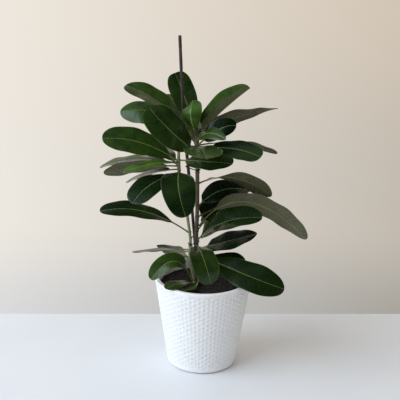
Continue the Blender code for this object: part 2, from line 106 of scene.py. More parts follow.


# Leaves of the tall stem, from its crown down
# Each leaf's lightness share is partly painted light: low for leaves that stand in shade, higher for lit and young
# ones.
TALL_LEAVES = [
    Leaf("leaf_t01", "tall", 388, (-33, 40, 432), (-52, 60, 476), 42, roll=16, petiole=18, full=0.6, sharp=0.3),
    Leaf("leaf_t02", "tall", 392, (-25, -12, 423), (-22, 8, 443), 34, roll=40, fold=-20, petiole=5, full=0.7, sharp=0.35, fresh=0.7),
    Leaf("leaf_t03", "tall", 389, (20, 2, 425), (66, 8, 464), 50, roll=-15, fold=60, petiole=6, full=0.5, fresh=0.75),
    Leaf("leaf_t04", "tall", 386, (-69, -8, 438), (-127, 10, 464), 50, roll=20, fold=10, petiole=14, full=0.8, fresh=0.4),
    Leaf("leaf_t05", "tall", 383, (4, -25, 399), (29, -48, 395), 24, roll=-40, petiole=4, full=0.4, sharp=0.6, fresh=0.4),
    Leaf("leaf_t06", "tall", 381, (41, 38, 408), (115, 60, 421), 58, roll=80, twist=-55, fold=0, full=0.5, sharp=0.8),
    Leaf("leaf_t07", "tall", 380, (-76, 12, 419), (-137, 25, 418), 46, roll=40, fold=-10, fresh=0.35),
    Leaf("leaf_t08", "tall", 378, (-46, 50, 424), (-66, 60, 440), 14, fold=15, petiole=10, fresh=0.7),
    Leaf("leaf_t09", "tall", 375, (19, -10, 402), (46, -6, 407), 30, roll=-70, petiole=8, full=0.6, fresh=0),
    Leaf("leaf_t10", "tall", 374, (0, 60, 392), (24, 115, 384), 44),
    Leaf("leaf_t11", "tall", 372, (54, 30, 370), (115, 50, 348), 40, roll=20, petiole=15),
    Leaf("leaf_t12", "tall", 370, (-8, -55, 383), (0, -115, 383), 58, petiole=8, fresh=0.35),
    Leaf("leaf_t13", "tall", 368, (41, -25, 375), (83, -50, 369), 37, roll=-35, petiole=15, full=0.7, sharp=0.35, fresh=0),
    Leaf("leaf_t14", "tall", 366, (-36, 60, 388), (-68, 110, 384), 44),
    Leaf("leaf_t15", "tall", 362, (-56, -36, 405), (-87, -34, 438), 52, roll=80, full=0.6, sharp=0.3),
    Leaf("leaf_t16", "tall", 310, (48, 10, 317), (107, 10, 288), 43, roll=-22, twist=92, petiole=6, full=0.6, sharp=0.6),
    Leaf("leaf_t17", "tall", 272, (28, 25, 292), (74, 45, 286), 42, roll=-30, petiole=3, full=0.7, sharp=0.7, fresh=0),
    Leaf("leaf_t18", "tall", 252, (12, 30, 256), (37, 50, 266), 44, roll=-50, petiole=4, full=0.5, fresh=0),
    Leaf("leaf_t19", "tall", 238, (68, 5, 279), (166, 0, 219), 54, roll=50, petiole=32, full=0.5, sharp=0.5),
    Leaf("leaf_t20", "tall", 228, (18, 60, 242), (48, 105, 234), 42),
    Leaf("leaf_t21", "tall", 215, (33, -25, 255), (90, -40, 268), 54, roll=-28, fold=15, petiole=4, full=0.5, fresh=0.1),
    Leaf("leaf_t22", "tall", 204, (-1, -60, 206), (12, -70, 167), 43, petiole=8, full=0.7),
    Leaf("leaf_t23", "tall", 198, (32, -10, 215), (85, -10, 231), 46, roll=-20, petiole=12, full=0.6, sharp=0.65, fresh=0),
    Leaf("leaf_t24", "tall", 188, (63, -40, 173), (130, -45, 150), 52, roll=-40, petiole=15, full=0.95, sharp=0.55, fresh=0.1),
    Leaf("leaf_t25", "tall", 190, (20, 50, 184), (52, 95, 180), 38),
    Leaf("leaf_t26", "tall", 184, (41, 20, 170), (68, 25, 174), 30, roll=-70, fresh=0),
    Leaf("leaf_t27", "tall", 144, (-16, -34, 145), (-40, -58, 149), 12, fold=15, petiole=16, fresh=0.8),
]

# Leaves of the short stem, from its crown down
# Each leaf's lightness share is partly painted light: low for leaves that stand in shade, higher for lit and young
# ones.
SHORT_LEAVES = [
    Leaf("leaf_s01", "short", 350, (2, -40, 358), (40, -65, 362), 42, roll=-24, petiole=8, full=0.7, fresh=0.1),
    Leaf("leaf_s02", "short", 350, (-104, -20, 381), (-160, -30, 388), 46, roll=48, petiole=8, full=0.7, fresh=0.35),
    Leaf("leaf_s03", "short", 347, (-84, -36, 351), (-127, -50, 341), 16, roll=25, fold=15, petiole=6, full=0.7, fresh=0.9),
    Leaf("leaf_s04", "short", 344, (-112, 10, 345), (-170, 20, 328), 40, roll=5, petiole=10, full=0.8, fresh=0.35),
    Leaf("leaf_s05", "short", 340, (-104, -10, 338), (-160, -10, 326), 44, roll=-42, petiole=10, full=0.8, fresh=0.3),
    Leaf("leaf_s06", "short", 338, (-70, 50, 348), (-100, 100, 340), 42),
    Leaf("leaf_s07", "short", 334, (-90, 30, 317), (-130, 50, 295), 38, roll=12),
    Leaf("leaf_s08", "short", 333, (-41, -60, 318), (-29, -80, 281), 54, petiole=4, full=0.4, fresh=0.05),
    Leaf("leaf_s09", "short", 326, (-82, -40, 321), (-111, -70, 298), 44, roll=20, petiole=14, full=0.8, fresh=0.05),
    Leaf("leaf_s10", "short", 230, (-98, -5, 263), (-167, -15, 265), 40, roll=20, petiole=24, full=0.8, fresh=0.05),
    Leaf("leaf_s11", "short", 199, (-76, 10, 192), (-116, 0, 190), 32, roll=-12, fold=0, petiole=15),
    Leaf("leaf_s12", "short", 195, (-55, 35, 183), (-80, 55, 182), 24, roll=15, sharp=0.8, fresh=0),
    Leaf("leaf_s13", "short", 187, (-34, -7, 187), (-47, -7, 180), 15, fold=10, petiole=5, full=0.6),
    Leaf("leaf_s14", "short", 180, (-44, 45, 172), (-66, 85, 160), 30),
    Leaf("leaf_s15", "short", 150, (-48, -30, 188), (-84, -40, 160), 31, roll=45, fold=25, petiole=24, full=0.5, fresh=0.4),
    Leaf("leaf_s16", "short", 143, (-38, -40, 155), (-59, -65, 155), 24, roll=10, petiole=6, fresh=0.35),
]
LEAVES = TALL_LEAVES + SHORT_LEAVES

# Settings


def paint(red, green, blue):
    """A colour as a screen shows it, 0 to 255, as the light values that shaders take."""
    return tuple(c / 3294.6 if c <= 10 else ((c / 255 + 0.055) / 1.055) ** 2.4 for c in (red, green, blue))


def colour(name, description, value):
    return FloatVectorProperty(
        name=name, description=description, default=paint(*value), size=3, min=0, max=1, subtype="COLOR"
    )


def length(name, description, value):
    return FloatProperty(name=name, description=description, default=value, min=0, precision=5, unit="LENGTH")


def share(name, description, value, top=1.0):
    return FloatProperty(name=name, description=description, default=value, min=0, max=top, subtype="FACTOR")


class PotSettings(bpy.types.PropertyGroup):
    height: length("Height", "Height of the pot's rim above the table", 0.152)
    rim_radius: length("Rim radius", "Outer radius of the wall at the rim", 0.080)
    foot_radius: length("Foot radius", "Outer radius of the wall at the table", 0.0576)
    opening_radius: length("Opening radius", "Inner radius at the rim", 0.0733)
    dimple_pitch: length("Dimple pitch", "Height from one dimple to the next", 0.0082)
    dimple_depth: length("Dimple depth", "How far each dimple is pressed in", 0.0008)
    glaze: colour("Glaze", "Colour of the satin glaze", (236, 238, 240))
    # Painted shade: a slightly darker colour laid into the dimples' hollows.
    hollow: colour("Hollow", "Colour that gathers in the dimples", (222, 225, 228))


class SoilSettings(bpy.types.PropertyGroup):
    top: length("Top", "Height of the soil's surface at the middle", 0.140)
    radius: length("Radius", "Radius of the soil's surface", 0.0712)
    lump: length("Lump", "Height of the soil's lumps", 0.0022)
    earth: colour("Earth", "Colour of the soil", (22, 15, 11))
    bark: colour("Bark", "Colour of the lighter bark chips", (122, 78, 44))


class StemSettings(bpy.types.PropertyGroup):
    tall_radius: length("Tall stem radius", "Radius of the taller stem", 0.0032)
    short_radius: length("Short stem radius", "Radius of the shorter stem", 0.0023)
    stake_radius: length("Stake radius", "Radius of the stake", 0.0025)
    tie_radius: length("Tie radius", "Radius of the cord ties", 0.0008)
    node_swelling: length("Node swelling", "How far a stem swells where a leaf joins", 0.0006)
    bark: colour("Bark", "Colour of the taller stem's bark", (104, 92, 70))
    green_bark: colour("Green bark", "Colour of the shorter stem", (128, 134, 98))
    cane: colour("Cane", "Colour of the stake", (52, 41, 34))
    cord: colour("Cord", "Colour of the ties", (24, 23, 22))


class LeafSettings(bpy.types.PropertyGroup):
    thickness: length("Thickness", "Thickness of the blade", 0.0006)
    stalk_radius: length("Stalk radius", "Radius of the leaf stalk", 0.0012)
    vein_spacing: length("Vein spacing", "Distance between side veins along the midrib", 0.0085)
    quilting: length("Quilting", "Depth of the blade's valleys at its side veins", 0.00008)
    # Painted light in part: each leaf is blended from the dark green to the light one by its lightness share, which is
    # set for youth and also for how lit or shaded that leaf stands.
    dark: colour("Dark green", "Upper side of a grown leaf", (6, 25, 7))
    light: colour("Light green", "Upper side of a young leaf", (70, 102, 34))
    underside: colour("Underside", "Lower side of a leaf", (96, 92, 72))
    rib: colour("Rib", "Midrib and side veins", (128, 142, 84))
    stalk: colour("Stalk", "Leaf stalk", (92, 106, 54))


class StageSettings(bpy.types.PropertyGroup):
    table: colour("Table", "Colour of the table", (222, 226, 232))
    # Painted light: the wall's glow is lighter on the window's side and darker away from it.
    lit_wall: colour("Wall, left", "Colour of the wall on its lighter side", (238, 233, 225))
    shaded_wall: colour("Wall, right", "Colour of the wall on its darker side", (199, 189, 176))
    window: colour("Window", "Colour of the soft window light", (228, 241, 255))
    window_size: length("Window size", "Width of the soft window light", 2.3)
    window_power: FloatProperty(name="Window power", description="Power of the window light", default=70, unit="POWER")


# Meshes


def new_piece(name, verts, faces, materials, face_slots=None, values=None, sharp=180):
    """A smooth mesh piece that rides on the plant's one body. The values are numbers per point that its paint reads."""
    mesh = bpy.data.meshes.new(name)
    mesh.from_pydata(np.asarray(verts, float).tolist(), [], [tuple(int(i) for i in face) for face in faces])
    for material in materials:
        mesh.materials.append(material)
    if face_slots is not None:
        mesh.polygons.foreach_set("material_index", np.asarray(face_slots, np.int32))
    for key, numbers in (values or {}).items():
        layer = mesh.attributes.new(key, "FLOAT", "POINT")
        layer.data.foreach_set("value", np.asarray(numbers, np.float32).ravel())
    mesh.shade_smooth()
    mesh.set_sharp_from_angle(angle=math.radians(sharp))
    mesh.update()
    obj = bpy.data.objects.new(name, mesh)
    bpy.context.scene.collection.objects.link(obj)
    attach(obj, BODY)
    return obj


def ring_faces(rings, around, start=0):
    """Quads between rings of points, each ring closed on itself."""
    faces = []
    for i in range(rings - 1):
        for j in range(around):
            a, b = start + i * around + j, start + i * around + (j + 1) % around
            faces.append((a, b, b + around, a + around))
    return faces


def end_faces(ring, around, tip, outward):
    """A fan from the ring that starts at this point to its tip point."""
    fan = [(ring + j, ring + (j + 1) % around, tip) for j in range(around)]
    return fan if outward else [face[::-1] for face in fan]


def turned(profile, steps):
    """Points and faces of a shape turned from a profile that starts and ends on the axis."""
    angles = np.arange(steps) * math.tau / steps
    rings = [(r * np.cos(angles), r * np.sin(angles), np.full(steps, z)) for r, z in profile[1:-1]]
    verts = np.concatenate([np.stack(ring, axis=1) for ring in rings])
    last = len(verts)
    verts = np.vstack([verts, (0, 0, profile[0][1]), (0, 0, profile[-1][1])])
    faces = [face[::-1] for face in ring_faces(len(rings), steps)]
    faces += end_faces(0, steps, last, True)
    faces += end_faces((len(rings) - 1) * steps, steps, last + 1, False)
    return verts, faces


def arc(centre_r, centre_z, radius, start, end, steps):
    """Profile points (r, z) on an arc, angles in degrees from the +r direction."""
    angles = np.radians(np.linspace(start, end, steps + 1))
    return [(centre_r + radius * math.cos(a), centre_z + radius * math.sin(a)) for a in angles]


def on_route(route, height):
    """The place at this height (millimetres) on the smooth curve through a route's own points, in metres."""
    places = np.array(route, float)
    x, y, z = places.T
    slopes = np.gradient(places[:, :2], z, axis=0)
    i = int(np.clip(np.searchsorted(z, height) - 1, 0, len(z) - 2))
    span = z[i + 1] - z[i]
    t = (height - z[i]) / span
    start, end = places[i, :2], places[i + 1, :2]
    flat = (
        start * (2 * t**3 - 3 * t**2 + 1)
        + end * (3 * t**2 - 2 * t**3)
        + slopes[i] * span * (t**3 - 2 * t**2 + t)
        + slopes[i + 1] * span * (t**3 - t**2)
    )
    return np.array((flat[0], flat[1], height)) * MM


def tube(places, radii, sides, closed=False):
    """Points and faces of a tube along these places. The radii are one per place, or one per place and side."""
    places = np.asarray(places, float)
    count = len(places)
    if closed:
        along = np.roll(places, -1, axis=0) - np.roll(places, 1, axis=0)
    else:
        along = np.gradient(places, axis=0)
    along /= np.linalg.norm(along, axis=1)[:, None]
    across = Vector(along[0]).orthogonal().normalized()
    angles = np.arange(sides) * math.tau / sides
    verts = []
    for i in range(count):
        tangent = Vector(along[i])
        across = (across - tangent * across.dot(tangent)).normalized()
        other = tangent.cross(across)
        radius = np.broadcast_to(radii[i], sides)
        ring = np.outer(np.cos(angles) * radius, across) + np.outer(np.sin(angles) * radius, other)
        verts.append(places[i] + ring)
    verts = np.concatenate(verts)
    faces = ring_faces(count, sides)
    last = (count - 1) * sides
    if closed:
        faces += [(last + j, last + (j + 1) % sides, (j + 1) % sides, j) for j in range(sides)]
    else:
        verts = np.vstack([verts, places[0], places[-1]])
        faces += end_faces(0, sides, count * sides, False)
        faces += end_faces(last, sides, count * sides + 1, True)
    return verts, faces


def gathered(parts):
    """Several (points, faces) as one."""
    verts, faces, start = [], [], 0
    for part_verts, part_faces in parts:
        verts.append(part_verts)
        faces += [tuple(start + i for i in face) for face in part_faces]
        start += len(part_verts)
    return np.concatenate(verts), faces


def smooth_step(value, low, high):
    t = np.clip((np.asarray(value, float) - low) / (high - low), 0, 1)
    return t * t * (3 - 2 * t)


# Paint


class Paint:
    """A new material, with short calls that add and join its nodes."""

    def __init__(self, name, roughness=0.5, **sockets):
        self.material = bpy.data.materials.new(name)
        self.material.use_nodes = True
        self.tree = self.material.node_tree
        self.shader = self.tree.nodes["Principled BSDF"]
        self.feed(self.shader.inputs["Roughness"], roughness)
        for socket, value in sockets.items():
            self.feed(self.shader.inputs[socket.replace("_", " ")], value)

    def feed(self, socket, value):
        if isinstance(value, bpy.types.NodeSocket):
            self.tree.links.new(value, socket)
        elif socket.type == "RGBA" and len(value) == 3:
            socket.default_value = (*value, 1)
        else:
            socket.default_value = value

    def node(self, kind, inputs=(), **settings):
        node = self.tree.nodes.new(kind)
        for key, value in settings.items():
            setattr(node, key, value)
        for socket, value in dict(inputs).items():
            self.feed(node.inputs[socket], value)
        return node

    def number(self, key):
        return self.node("ShaderNodeAttribute", attribute_name=key).outputs["Fac"]

    def place(self):
        return self.node("ShaderNodeTexCoord").outputs["Object"]

    def stretched(self, size):
        """The object's own coordinates times these three numbers."""
        node = self.node("ShaderNodeVectorMath", {0: self.place(), 1: size}, operation="MULTIPLY")
        return node.outputs["Vector"]

    def cloud(self, scale, detail=3, place=None, roughness=0.5):
        """Soft noise from 0 to 1. The scale is its lumps to a metre."""
        inputs = {"Vector": place or self.place(), "Scale": scale, "Detail": detail, "Roughness": roughness}
        return self.node("ShaderNodeTexNoise", inputs).outputs["Fac"]

    def maths(self, operation, first, second=0.0, clamp=False):
        node = self.node("ShaderNodeMath", {0: first, 1: second}, operation=operation, use_clamp=clamp)
        return node.outputs["Value"]

    def fade(self, value, low, high, start=0.0, end=1.0):
        """The value's way from low to high, smoothly, as a number from start to end."""
        inputs = {"Value": value, "From Min": low, "From Max": high, "To Min": start, "To Max": end}
        return self.node("ShaderNodeMapRange", inputs, interpolation_type="SMOOTHSTEP").outputs["Result"]

    def mix(self, amount, first, second, blend="MIX"):
        inputs = {"Factor": amount, "A": first, "B": second}
        node = self.tree.nodes.new("ShaderNodeMix")
        node.data_type = "RGBA"
        node.blend_type = blend
        sockets = {socket.identifier: socket for socket in node.inputs}
        self.feed(sockets["Factor_Float"], inputs["Factor"])
        self.feed(sockets["A_Color"], inputs["A"])
        self.feed(sockets["B_Color"], inputs["B"])
        return next(socket for socket in node.outputs if socket.identifier == "Result_Color")

    def bumps(self, height, distance, strength=1.0):
        inputs = {"Height": height, "Distance": distance, "Strength": strength}
        self.feed(self.shader.inputs["Normal"], self.node("ShaderNodeBump", inputs).outputs["Normal"])

    def finish(self, base, roughness=None):
        self.feed(self.shader.inputs["Base Color"], base)
        if roughness is not None:
            self.feed(self.shader.inputs["Roughness"], roughness)
        return self.material


def shade(value, amount):
    """A colour made lighter or darker by this amount."""
    return tuple(min(c * amount, 1) for c in value)


# Pot

POT_STEPS = 528
DIMPLE_COLUMNS = 66
DIMPLE_BAND = (0.0075, 0.1462)
WALL_ROW = 0.001
POT_FLOOR = 0.008
INNER_FLOOR_RADIUS = 0.050
STANDING_RADIUS = 0.053
STANDING_HEIGHT = 0.0012
RIM_ROUNDING = 0.0012
BOTTOM_ROUNDING = 0.004


def dimples(radius, angle, height, pitch):
    """How deep each place on the wall lies in its own dimple, from 0 on the ridges to 1 in the middle."""
    column = angle / math.tau * DIMPLE_COLUMNS
    row = height / pitch
    nearest = []
    for i in range(-1, 3):
        at = np.floor(column) + i
        lift = 0.5 * (at % 2)
        for j in (0, 1):
            level = np.floor(row - lift) + j + lift
            sideways = (column - at) * math.tau * radius / DIMPLE_COLUMNS
            nearest.append(np.hypot(sideways, (row - level) * pitch))
    nearest = np.sort(np.stack(nearest), axis=0)
    from_ridge = 0.5 * (nearest[1] - nearest[0])
    return np.sin(0.5 * math.pi * np.clip(from_ridge / (0.36 * pitch), 0, 1))


def pot_profile(pot):
    """The pot's section, from the middle of its inner floor, over the rim and down its outside to the foot."""
    lean = math.atan2(pot.rim_radius - pot.foot_radius, pot.height)
    turn = math.degrees(lean)
    inner_rim = arc(pot.opening_radius + RIM_ROUNDING, pot.height - RIM_ROUNDING, RIM_ROUNDING, 180, 90, 6)
    outer_rim = arc(pot.rim_radius - RIM_ROUNDING, pot.height - RIM_ROUNDING, RIM_ROUNDING, 90, -turn, 6)
    bottom_r = pot.foot_radius - BOTTOM_ROUNDING + BOTTOM_ROUNDING * math.tan(lean / 2)
    bottom = arc(bottom_r, STANDING_HEIGHT + BOTTOM_ROUNDING, BOTTOM_ROUNDING, -turn, -90, 8)
    rows = round((outer_rim[-1][1] - bottom[0][1]) / WALL_ROW)
    wall = np.linspace(outer_rim[-1], bottom[0], rows + 1)[1:-1].tolist()
    inside = np.linspace((INNER_FLOOR_RADIUS, POT_FLOOR), inner_rim[0], 12)[:-1].tolist()
    foot = [(STANDING_RADIUS, STANDING_HEIGHT), (STANDING_RADIUS, 0.0), (0, 0)]
    return [(0, POT_FLOOR), *inside, *inner_rim, *outer_rim, *wall, *bottom, *foot]


def glaze_paint(pot):
    glaze = Paint("satin_glaze", IOR=1.5)
    # Painted shade: the glaze is tinted darker toward the middle of each dimple.
    hollow = glaze.fade(glaze.number("hollow"), 0.1, 1.0, 0.0, 0.55)
    tone = glaze.mix(hollow, pot.glaze, pot.hollow)
    tone = glaze.mix(glaze.fade(glaze.cloud(14, 4), 0.35, 0.7, 0, 0.25), tone, shade(pot.glaze, 0.93))
    speck = glaze.fade(glaze.cloud(900, 2), 0.70, 0.78, 0, 0.12)
    tone = glaze.mix(speck, tone, shade(pot.hollow, 0.7))
    glaze.bumps(glaze.cloud(260, 4), 0.00012, 0.5)
    return glaze.finish(tone, glaze.fade(glaze.cloud(40, 3), 0.3, 0.7, 0.40, 0.50))


class FIG_OT_pot(bpy.types.Operator):
    """Make the white pot with its pressed dimples"""

    bl_idname = "fig.pot"
    bl_label = "Pot"

    def execute(self, context):
        pot = context.scene.fig_pot
        verts, faces = turned(pot_profile(pot), POT_STEPS)
        radius, height = np.hypot(verts[:, 0], verts[:, 1]), verts[:, 2]
        lean = (pot.rim_radius - pot.foot_radius) / pot.height
        outside = radius > pot.foot_radius - BOTTOM_ROUNDING + height * lean
        low, high = DIMPLE_BAND
        band = smooth_step(height, low, low + 0.002) * (1 - smooth_step(height, high - 0.001, high))
        angle = np.arctan2(verts[:, 1], verts[:, 0]) % math.tau
        # Each point's depth in its dimple presses the wall in and also sets the glaze's painted shade.
        hollow = np.where(outside, dimples(radius, angle, height, pot.dimple_pitch) * band, 0)
        inward = 1 - pot.dimple_depth * hollow / np.maximum(radius, MM)
        verts[:, :2] *= inward[:, None]
        made = new_piece("pot_wall", verts, faces, [glaze_paint(pot)], values={"hollow": hollow}, sharp=60)
        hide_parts("pot")
        return {"FINISHED"}


# Soil

SOIL_RINGS = 34
SOIL_STEPS = 120
SOIL_DEPTH = 0.006
CHIP_COUNT = 170


def soil_height(soil, x, y):
    place = Vector((x, y, 0.3))
    lumps = noise.fractal(place * 130, 1.0, 2.0, 4) + 0.6 * noise.noise(place * 45)
    fall = (math.hypot(x, y) / soil.radius) ** 2
    return soil.top - soil.lump + soil.lump * (0.8 * lumps - 0.5 * fall)


def chip(soil, dice):
    """One flake of bark that lies on the soil, its corners knocked about."""
    away = soil.radius * 0.95 * math.sqrt(dice.random())
    bearing = dice.uniform(0, math.tau)
    x, y = away * math.cos(bearing), away * math.sin(bearing)
    size = (dice.uniform(2.0, 6.5), dice.uniform(1.0, 2.4), dice.uniform(0.5, 1.3))
    turn = Matrix.Rotation(dice.uniform(0, math.tau), 3, "Z") @ Matrix.Rotation(dice.uniform(-0.45, 0.45), 3, "X")
    centre = Vector((x, y, soil_height(soil, x, y) + 0.0004))
    places = []
    for i, (a, b) in enumerate([(-1, -0.6), (-0.4, -1), (0.6, -0.8), (1, 0.2), (0.3, 1), (-0.8, 0.7)] * 2):
        level = -1 if i < 6 else 1
        point = Vector((a * size[0], b * size[1], level * size[2])) * 0.5 * MM
        point *= dice.uniform(0.75, 1.2)
        places.append(centre + turn @ point)
    faces = [(5, 4, 3, 2, 1, 0), (6, 7, 8, 9, 10, 11)]
    faces += [(i, (i + 1) % 6, 6 + (i + 1) % 6, 6 + i) for i in range(6)]
    return np.array([tuple(p) for p in places]), faces


def earth_paint(soil):
    earth = Paint("moist_earth")
    tone = earth.mix(earth.fade(earth.cloud(320, 5), 0.3, 0.7), shade(soil.earth, 0.35), soil.earth)
    tone = earth.mix(earth.fade(earth.cloud(700, 2), 0.62, 0.75, 0, 0.7), tone, shade(soil.bark, 0.6))
    earth.bumps(earth.cloud(900, 5), 0.0008, 0.9)
    return earth.finish(tone, earth.fade(earth.cloud(200, 2), 0.3, 0.7, 0.75, 0.95))


def bark_paint(soil):
    bark = Paint("bark_chips")
    tone = bark.mix(bark.fade(bark.number("tint"), 0.0, 1.0), shade(soil.earth, 0.8), soil.bark)
    grain = bark.cloud(90, 4, bark.stretched((14, 3, 9)))
    tone = bark.mix(bark.fade(grain, 0.35, 0.65, 0, 0.7), tone, shade(soil.earth, 0.5))
    bark.bumps(grain, 0.0004, 0.7)
    return bark.finish(tone, bark.fade(grain, 0.3, 0.7, 0.7, 0.9))


class FIG_OT_soil(bpy.types.Operator):
    """Make the lumpy soil and the chips of bark that lie on it"""

    bl_idname = "fig.soil"
    bl_label = "Soil"

    def execute(self, context):
        soil = context.scene.fig_soil
        low = soil.top - SOIL_DEPTH
        profile = [(0, low), (soil.radius - 0.001, low)]
        profile += [(soil.radius * (1 - i / SOIL_RINGS), soil.top) for i in range(SOIL_RINGS)] + [(0, soil.top)]
        verts, faces = turned(profile, SOIL_STEPS)
        for vert in verts[SOIL_STEPS:-2]:
            vert[2] = soil_height(soil, vert[0], vert[1])
        verts[-1, 2] = soil_height(soil, 0, 0)
        made = new_piece("soil_bed", verts, [face[::-1] for face in faces], [earth_paint(soil)])
        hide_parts("soil")

        dice = random.Random(11)
        chips = [chip(soil, dice) for _ in range(CHIP_COUNT)]
        verts, faces = gathered(chips)
        tints = np.repeat([dice.random() ** 1.6 for _ in chips], len(chips[0][0]))
        made = new_piece("bark_chips", verts, faces, [bark_paint(soil)], values={"tint": tints}, sharp=30)
        return {"FINISHED"}


# Stems, stake and ties

STEM_STEP = 1.25
STEM_SIDES = 20
SCALE_LENGTH = 10
SCALE_TILT = math.radians(20)


def stem_heights(name):
    return [leaf.height for leaf in LEAVES if leaf.stem == name]


def stem_shape(route, radius, swelling, joints):
    """A stem with a ring where each leaf joins and a pointed bud on top, with each point's share of a ring."""
    low, high = route[0][2], route[-1][2]
    heights = np.arange(low, high, STEM_STEP)
    places = [on_route(route, h) for h in heights]
    top, rising = on_route(route, high), on_route(route, high) - on_route(route, high - 5)
    rising /= np.linalg.norm(rising)
    rises = np.linspace(0, BUD_RISE, 12)
    places += [top + rising * rise * MM for rise in rises]
    bud = np.sqrt(np.clip(1 - (rises / (BUD_RISE + 0.5)) ** 1.6, 0, 1))
    spread = np.ones(len(heights))
    rings = sum(np.exp(-(((heights - joint) / 1.8) ** 2)) for joint in joints)
    scars = sum(np.exp(-(((heights - joint + 3) / 0.7) ** 2)) for joint in joints)
    radii = radius * spread + swelling * np.minimum(rings, 1.2) - 0.25 * swelling * np.minimum(scars, 1)
    radii = np.concatenate([radii, radius * bud])
    rng = np.random.default_rng(5)
    sides = 1 + 0.035 * rng.standard_normal(STEM_SIDES)
    verts, faces = tube(places, radii[:, None] * sides[None, :], STEM_SIDES)
    ring = np.concatenate([np.minimum(rings, 1), np.zeros(len(rises))])
    ring = np.concatenate([np.repeat(ring, STEM_SIDES), [0, 0]])
    return verts, faces, ring


def scale_shape(route, radius, height, bearing):
    """A small pointed scale that leans out from the stem, a little bent."""
    out = np.array((math.cos(math.radians(bearing)), math.sin(math.radians(bearing)), 0))
    along = out * math.sin(SCALE_TILT) + np.array((0, 0, math.cos(SCALE_TILT)))
    root = on_route(route, height) + out * 0.5 * radius
    steps = np.linspace(0, 1, 9)
    places = [root + along * t * SCALE_LENGTH * MM - out * 0.9 * MM * math.sin(math.pi * t) for t in steps]
    radii = 1.6 * MM * (1 - steps**1.5) + 0.25 * MM
    return tube(places, radii, 10)


def shoot_shape(points):
    line = np.array(points) * MM
    steps = np.linspace(0, 1, 12)[:, None]
    places = line[0] * (1 - steps) ** 2 + (2 * line[1] - 0.5 * (line[0] + line[2])) * 2 * steps * (1 - steps)
    places = places + line[2] * steps**2
    return tube(places, 1.05 * MM * (1 - 0.7 * steps.ravel() ** 2), 10)


def wood_paint(name, light, dark, low, high, streak):
    """Bark whose colour runs from dark at the low height to light at the high one, with upright streaks."""
    wood = Paint(name)
    height = wood.node("ShaderNodeSeparateXYZ", {0: wood.place()}).outputs["Z"]
    tone = wood.mix(wood.fade(height, low, high), dark, light)
    grain = wood.cloud(620, 4, wood.stretched((1, 1, 0.12)))
    tone = wood.mix(wood.fade(grain, 0.38, 0.64, 0, streak), tone, shade(dark, 0.45))
    patch = wood.cloud(120, 3, wood.stretched((1, 1, 0.5)))
    tone = wood.mix(wood.fade(patch, 0.5, 0.72, 0, 0.5), tone, shade(light, 1.35))
    tone = wood.mix(wood.fade(wood.number("joint"), 0.25, 0.9, 0, 0.45), tone, shade(dark, 0.55))
    wood.bumps(grain, 0.0005, 0.8)
    return wood.finish(tone, wood.fade(grain, 0.3, 0.7, 0.55, 0.8))


class FIG_OT_stems(bpy.types.Operator):
    """Make the two stems with their rings, scales, side shoots and end buds"""

    bl_idname = "fig.stems"
    bl_label = "Stems"

    def execute(self, context):
        stems = context.scene.fig_stems
        bark = wood_paint("brown_bark", stems.bark, shade(stems.bark, 0.75), 0.15, 0.38, 0.5)
        green = wood_paint("green_bark", shade(stems.green_bark, 0.7), stems.green_bark, 0.24, 0.33, 0.35)
        rows = [
            ("tall", TALL_ROUTE, stems.tall_radius, TALL_SCALES, [], bark),
            ("short", SHORT_ROUTE, stems.short_radius, SHORT_SCALES, SHORT_SHOOTS, green),
        ]
        for name, route, radius, scales, shoots, paint_on in rows:
            verts, faces, rings = stem_shape(route, radius, stems.node_swelling, stem_heights(name))
            parts = [(verts, faces)]
            parts += [scale_shape(route, radius, height, bearing) for height, bearing in scales]
            parts += [shoot_shape(points) for points in shoots]
            verts, faces = gathered(parts)
            rings = np.concatenate([rings, np.zeros(len(verts) - len(rings))])
            made = new_piece(f"{name}_stem", verts, faces, [paint_on], values={"joint": rings}, sharp=70)
            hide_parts(f"stem_{name}")
        return {"FINISHED"}


class FIG_OT_stake(bpy.types.Operator):
    """Make the thin stake"""

    bl_idname = "fig.stake"
    bl_label = "Stake"

    def execute(self, context):
        stems = context.scene.fig_stems
        low, high = STAKE_ROUTE[0][2], STAKE_ROUTE[-1][2]
        heights = np.append(np.arange(low, high - 1.0, 2.0), (high - 0.7, high - 0.25, high))
        places = [on_route(STAKE_ROUTE, h) for h in heights]
        radii = np.full(len(heights), stems.stake_radius)
        radii *= 1 - 0.03 * np.sin(heights * 0.21) - 0.02 * np.sin(heights * 0.57)
        radii[-3:] *= (1.0, 0.93, 0.78)
        verts, faces = tube(places, radii, STEM_SIDES)
        cane = wood_paint("dark_cane", shade(stems.cane, 1.3), stems.cane, 0.20, 0.60, 0.6)
        made = new_piece("stake_cane", verts, faces, [cane], values={"joint": np.zeros(len(verts))}, sharp=50)
        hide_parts("stake")
        return {"FINISHED"}


def leaving_angle(start, start_radius, end, end_radius):
    """The bearing, seen from both centres, of the line that touches both circles on their outer side."""
    across = math.atan2(end[1] - start[1], end[0] - start[0])
    return across - math.acos((start_radius - end_radius) / math.dist(start, end))


def belt(circles, steps=14):
    """The points of a taut belt round circles (centre, radius) in the plane, the circles in turning order."""
    points = []
    for i, (centre, radius) in enumerate(circles):
        before, before_radius = circles[i - 1]
        after, after_radius = circles[(i + 1) % len(circles)]
        start = leaving_angle(before, before_radius, centre, radius)
        end = leaving_angle(centre, radius, after, after_radius)
        for angle in start + (end - start) % math.tau * np.linspace(0, 1, steps + 1):
            points.append((centre[0] + radius * math.cos(angle), centre[1] + radius * math.sin(angle)))
    return np.array(points)


def knot(place, thick):
    """A small knot: one tight turn of the cord and its two short ends."""
    turn = np.linspace(0, math.tau, 25)[:-1]
    ring = np.stack([1.5 * np.cos(turn), 0.5 * np.sin(2 * turn), 1.5 * np.sin(turn)], axis=1) * thick + place
    ends = []
    for side in (-1, 1):
        steps = np.linspace(0, 1, 8)[:, None]
        end = np.hstack([side * 4.5 * thick * steps, -1.5 * thick * steps, -5 * thick * steps**2]) + place
        ends.append(tube(end, np.full(8, 0.8 * thick), 8))
    return [tube(ring, np.full(24, 0.85 * thick), 8, closed=True), *ends]


